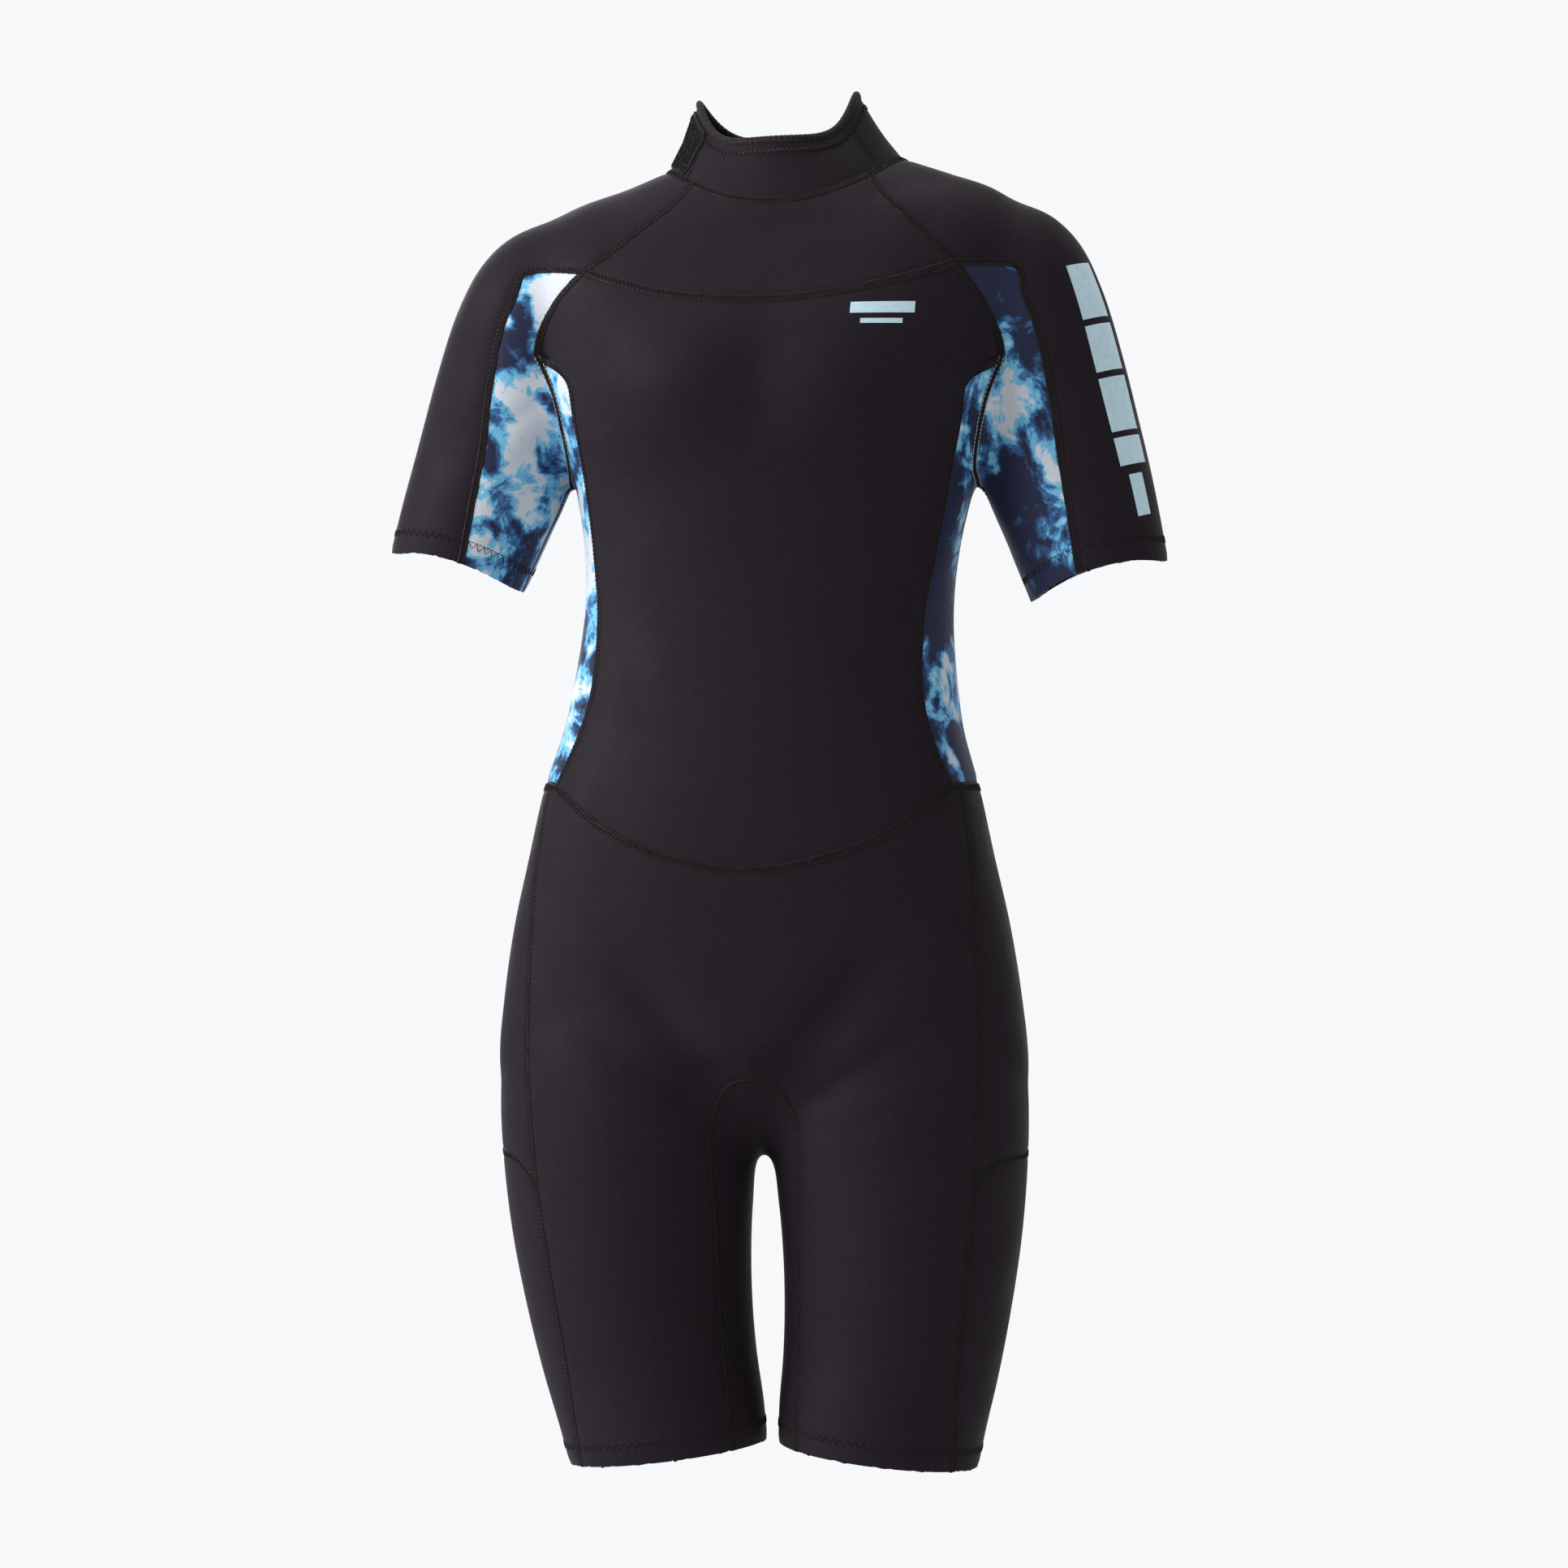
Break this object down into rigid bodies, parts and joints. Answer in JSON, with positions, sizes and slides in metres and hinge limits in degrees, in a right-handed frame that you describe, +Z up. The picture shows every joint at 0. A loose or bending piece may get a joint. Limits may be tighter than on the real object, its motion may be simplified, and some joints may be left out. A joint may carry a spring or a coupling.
{
  "type": "shorty wetsuit",
  "caption": "Short-sleeved, short-legged neoprene wetsuit with stand-up collar, back zip and neck flap, black with tie-dye print panels.",
  "frame": {"origin": "middle of the wearer's waist, where the top is sewn to the shorts; the wearer holds the suit up", "axes": "+Z up the body, -Y the way the chest faces, +X towards the wearer's left arm"},
  "size_m": [0.5052, 0.229, 0.8935],
  "materials": {
    "black_neoprene": "matt jersey-faced neoprene, fine knit",
    "collar_neoprene": "smooth matt neoprene",
    "printed_neoprene": "jersey-faced neoprene with white, sky blue and navy tie-dye print",
    "loop_pile": "brushed loop pile",
    "hook_tape": "moulded hook tape",
    "binding_tape": "rolled bound edge",
    "zip_tape": "woven tape",
    "zip_coil": "moulded nylon coil",
    "zip_metal": "satin plated metal",
    "hem_tape": "flat knit tape"
  },
  "bodies": {
    "suit": {"chest_yoke": "black_neoprene", "front_torso_panel": "black_neoprene", "back_panel_left": "black_neoprene", "back_panel_right": "black_neoprene", "raglan_sleeve_left": "black_neoprene", "raglan_sleeve_right": "black_neoprene", "shorts_front": "black_neoprene", "seat_panel_left": "black_neoprene", "seat_panel_right": "black_neoprene", "hip_side_left": "black_neoprene", "hip_side_right": "black_neoprene", "thigh_side_left": "black_neoprene", "thigh_side_right": "black_neoprene", "crotch_gusset": "black_neoprene", "side_panel_left": "printed_neoprene", "side_panel_right": "printed_neoprene", "sleeve_print_front_left": "printed_neoprene", "sleeve_print_front_right": "printed_neoprene", "sleeve_print_back_left": "printed_neoprene", "sleeve_print_back_right": "printed_neoprene", "collar_front": "collar_neoprene", "collar_side_left": "collar_neoprene", "collar_side_right": "collar_neoprene", "collar_loop_patch": "loop_pile", "collar_binding": "binding_tape", "zip_tape_left": "zip_tape", "zip_tape_right": "zip_tape", "zip_coil_left": "zip_coil", "zip_coil_right": "zip_coil", "zip_top_stop": "zip_metal", "zip_bottom_stop": "zip_metal", "zip_backing_flap": "black_neoprene", "zip_end_patch": "zip_tape", "leg_hem_tape_left": "hem_tape", "leg_hem_tape_right": "hem_tape", "sleeve_hem_tape_left": "hem_tape", "sleeve_hem_tape_right": "hem_tape"},
    "slider": {"zip_slider": "zip_metal"},
    "puller": {"zip_puller": "zip_metal"},
    "neck_flap": {"collar_flap": "collar_neoprene", "collar_flap_hook": "hook_tape"}
  },
  "joints": [
    {"name": "zip_travel", "type": "hinge", "parent": "suit", "child": "slider", "pos_m": [0.00351, 2.1094, 0.19505], "axis": [0.9989, 0, -0.046], "range_deg": [0, 8.2]},
    {"name": "puller_swing", "type": "hinge", "parent": "slider", "child": "puller", "pos_m": [0.01092, 0.08833, 0.35572], "axis": [0.9989, -0.0036, -0.0458], "range_deg": [0, 170]},
    {"name": "flap_open", "type": "hinge", "parent": "suit", "child": "neck_flap", "pos_m": [0.07701, 0.01468, 0.43527], "axis": [0.558, 0.0573, -0.8279], "range_deg": [0, 100]}
  ]
}
